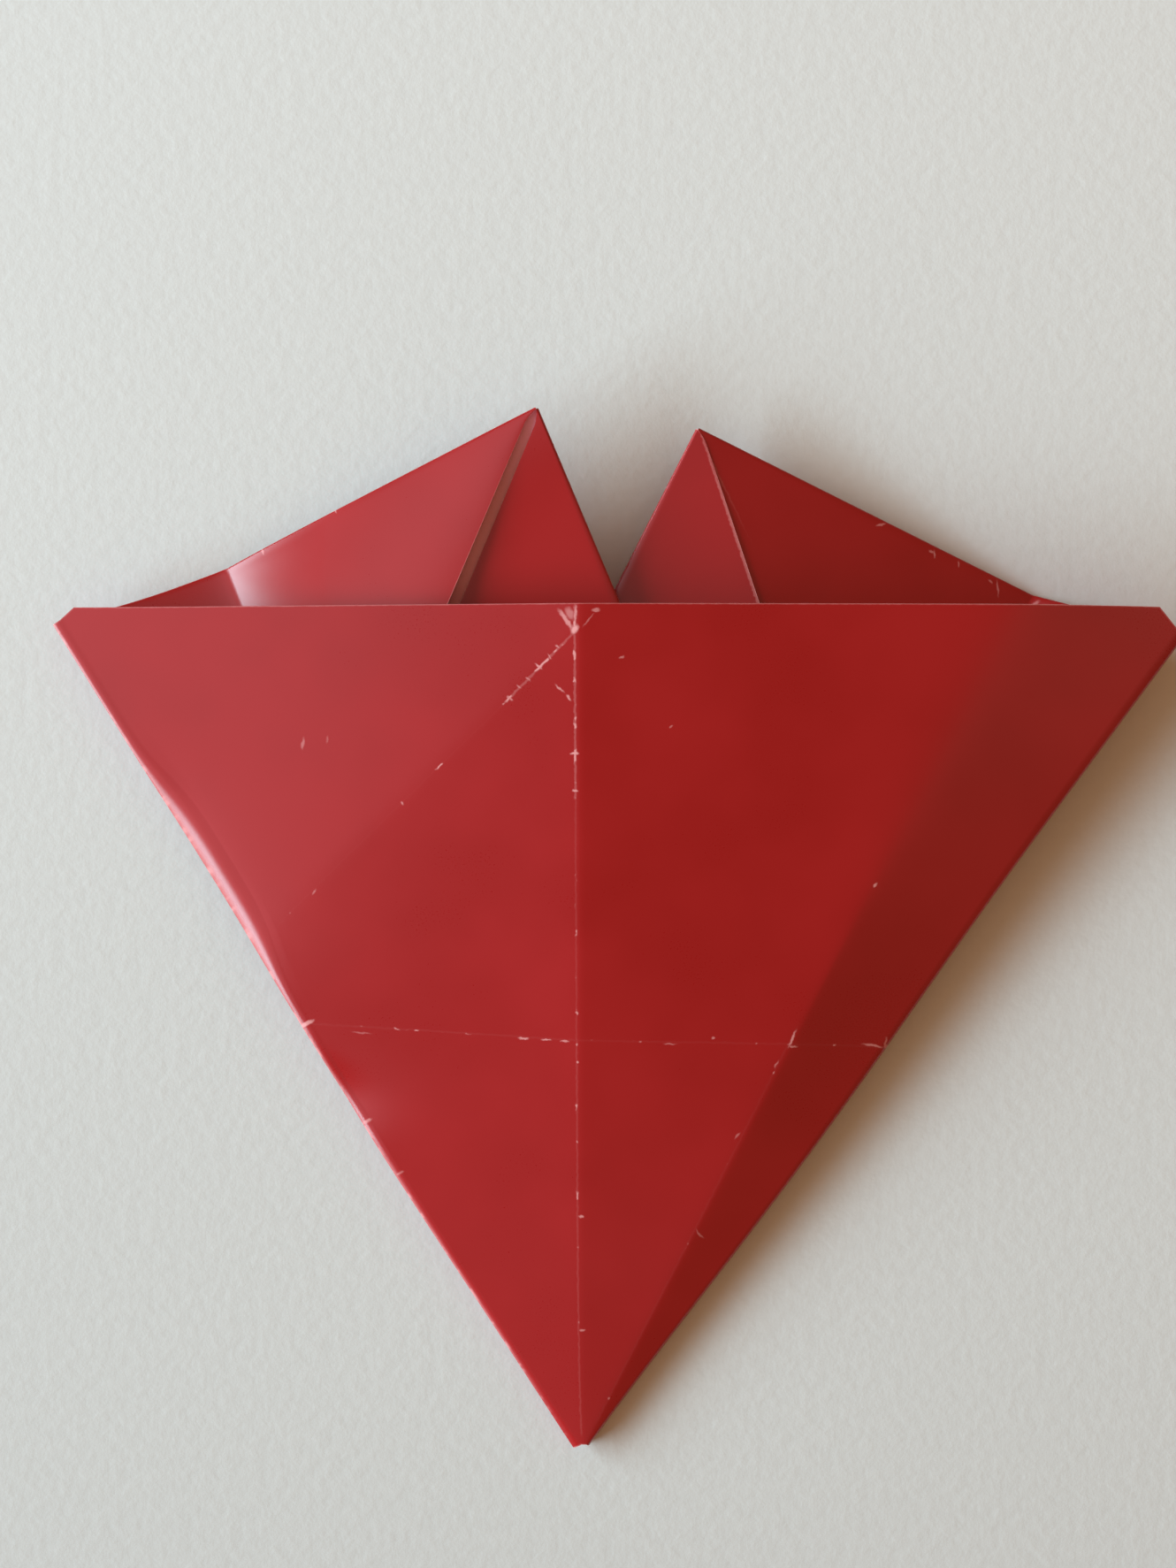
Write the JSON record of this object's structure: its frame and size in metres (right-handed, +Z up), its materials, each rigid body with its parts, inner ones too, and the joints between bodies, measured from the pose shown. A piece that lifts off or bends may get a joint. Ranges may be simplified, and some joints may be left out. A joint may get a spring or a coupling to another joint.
{
  "type": "origami heart",
  "caption": "Heart folded from a single sheet of glossy paper: a V-shaped front face with both ends of the sheet crossed behind it and standing past its top as pointed lobes.",
  "frame": {"origin": "under the middle of the heart's outline, on the surface that it lies on", "axes": "+Z up through the layers to the front face, +Y from the tip to the lobes, +X to the viewer's right"},
  "size_m": [0.1246, 0.1146, 0.0129],
  "materials": {
    "red_paper": "satin"
  },
  "bodies": {
    "root": {"folded_sheet": "red_paper"}
  },
  "joints": []
}
